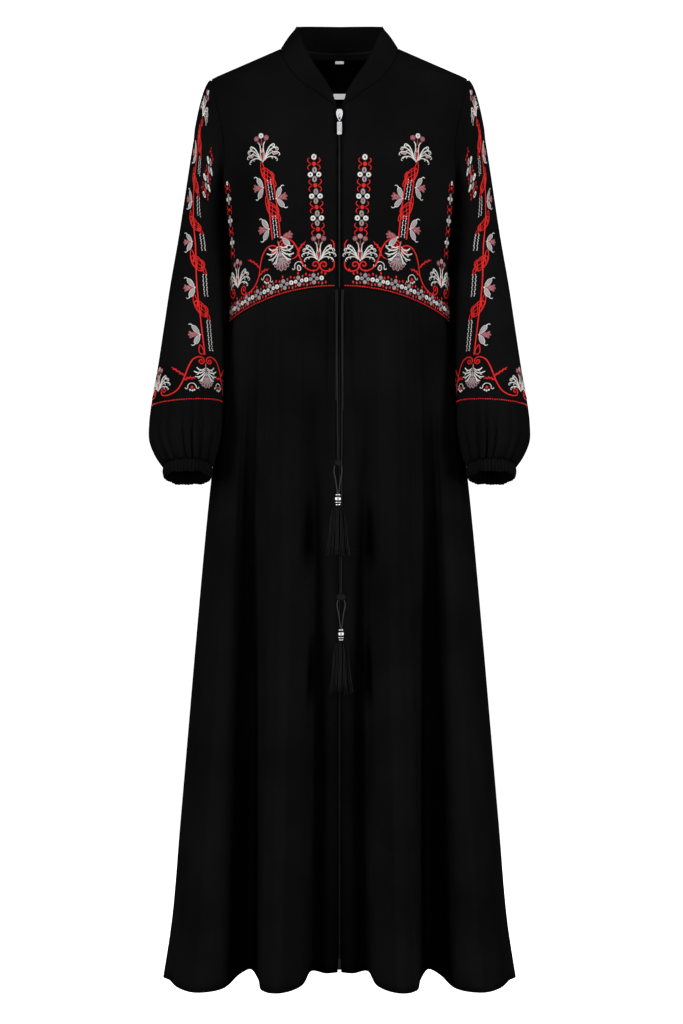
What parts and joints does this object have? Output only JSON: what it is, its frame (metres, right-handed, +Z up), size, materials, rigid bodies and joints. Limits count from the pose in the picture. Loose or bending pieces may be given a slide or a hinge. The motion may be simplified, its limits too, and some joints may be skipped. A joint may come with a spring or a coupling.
{
  "type": "abaya cloak",
  "caption": "Full-length black abaya worn hollow: zipped V-neck bodice, raised waist seam, folded A-line skirt, bishop sleeves, waist ties with tassels.",
  "frame": {"origin": "middle of the neck at the height of the shoulders, where the wearer holds the garment up", "axes": "+Z up, the front faces -Y, +X to the right of someone who looks at the front"},
  "size_m": [0.5642, 0.3452, 1.4482],
  "materials": {
    "crepe": "matt black crepe with a faint sheen on the folds",
    "cord": "black rayon cord and tassel yarn, satin",
    "zip_tape": "black woven polyester tape, matt",
    "zip_chain": "black coil zip teeth, satin",
    "metal": "polished silver-coloured zinc",
    "label": "plain white woven tape, bare",
    "thread_red": "red rayon embroidery thread, satin",
    "thread_white": "white and silver-grey rayon embroidery thread, satin",
    "thread_rose": "dusty rose rayon embroidery thread, satin"
  },
  "bodies": {
    "garment": {"bodice_front_left": "crepe", "bodice_front_right": "crepe", "bodice_back": "crepe", "collar": "crepe", "skirt_front_left": "crepe", "skirt_front_right": "crepe", "skirt_back": "crepe", "sleeve_left": "crepe", "sleeve_right": "crepe", "cuff_left": "crepe", "cuff_right": "crepe", "zip_tape_left": "zip_tape", "zip_tape_right": "zip_tape", "zip_chain": "zip_chain", "zip_slider": "metal", "tie_upper": "cord", "tie_end_upper": "cord", "knot_upper": "cord", "loop_upper_a": "cord", "loop_upper_b": "cord", "bead_upper": "metal", "tassel_upper": "cord", "tie_lower": "cord", "tie_end_lower": "cord", "knot_lower": "cord", "loop_lower_a": "cord", "loop_lower_b": "cord", "bead_lower": "metal", "tassel_lower": "cord", "neck_tape": "zip_tape", "size_label": "label", "plain_label": "label"},
    "zip_link": {"pull_link": "metal"},
    "zip_pull": {"pull_tab": "metal"}
  },
  "joints": [
    {"name": "link_swing", "type": "hinge", "parent": "garment", "child": "zip_link", "pos_m": [0, -0.11137, -0.108], "axis": [-1, 0, 0], "range_deg": [0, 140]},
    {"name": "pull_swing", "type": "hinge", "parent": "zip_link", "child": "zip_pull", "pos_m": [0, -0.11291, -0.11524], "axis": [-1, 0, 0], "range_deg": [0, 60]}
  ]
}
